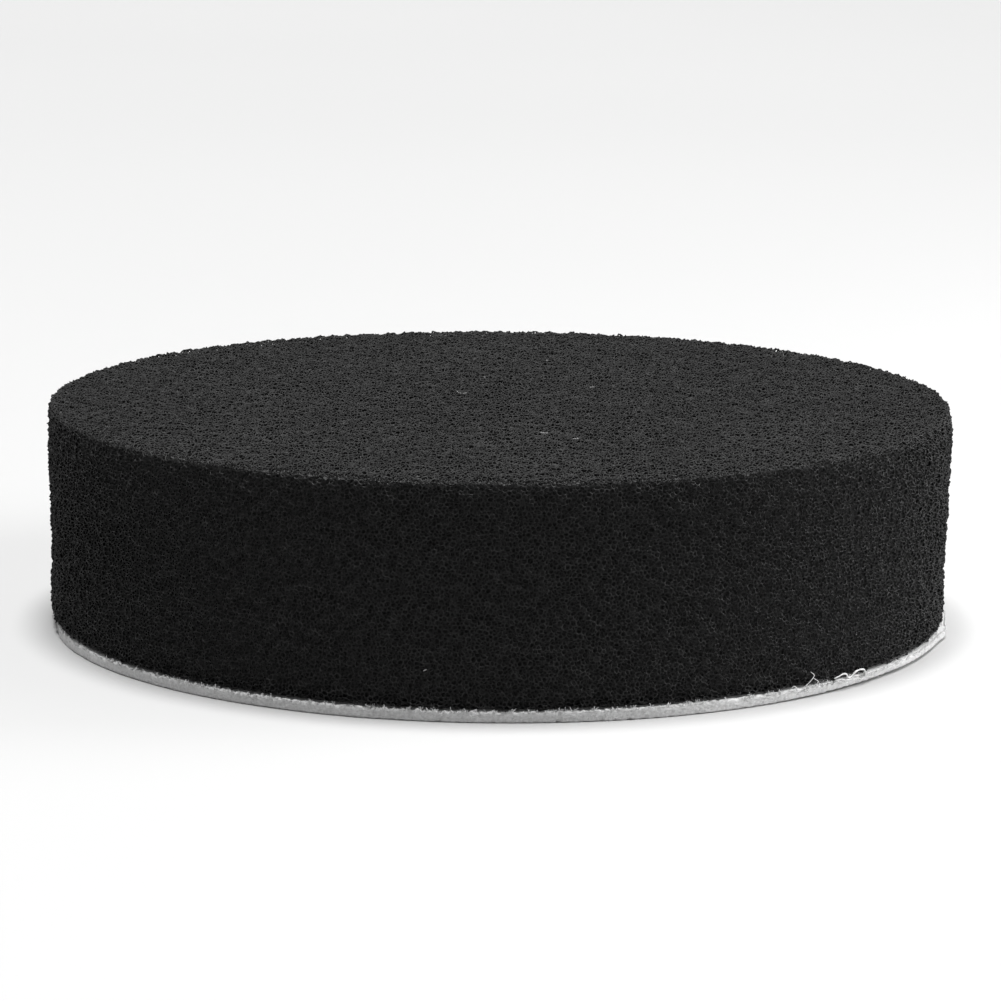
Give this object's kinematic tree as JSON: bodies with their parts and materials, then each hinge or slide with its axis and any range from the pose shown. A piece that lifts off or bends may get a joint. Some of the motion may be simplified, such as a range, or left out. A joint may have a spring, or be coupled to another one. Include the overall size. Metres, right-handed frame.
{
  "type": "polishing pad",
  "caption": "Round black foam polishing pad with a pale hook-and-loop cloth backing, laminated in layers and die-cut.",
  "frame": {"origin": "centre of the loop side, on the surface that the pad lies on", "axes": "+Z from the loop side through the foam to the polishing face; the pad is round about Z, so +X and +Y are free, and +X is to the right in the view from the front (-Y)"},
  "size_m": [0.125, 0.125, 0.031],
  "materials": {
    "foam": "matte",
    "adhesive": "satin",
    "loop_cloth": "matte",
    "loop_pile": "matte"
  },
  "bodies": {
    "root": {"foam_disc": "foam", "adhesive_film": "adhesive", "loop_fabric_ground": "loop_cloth", "loop_pile": "loop_pile"}
  },
  "joints": []
}
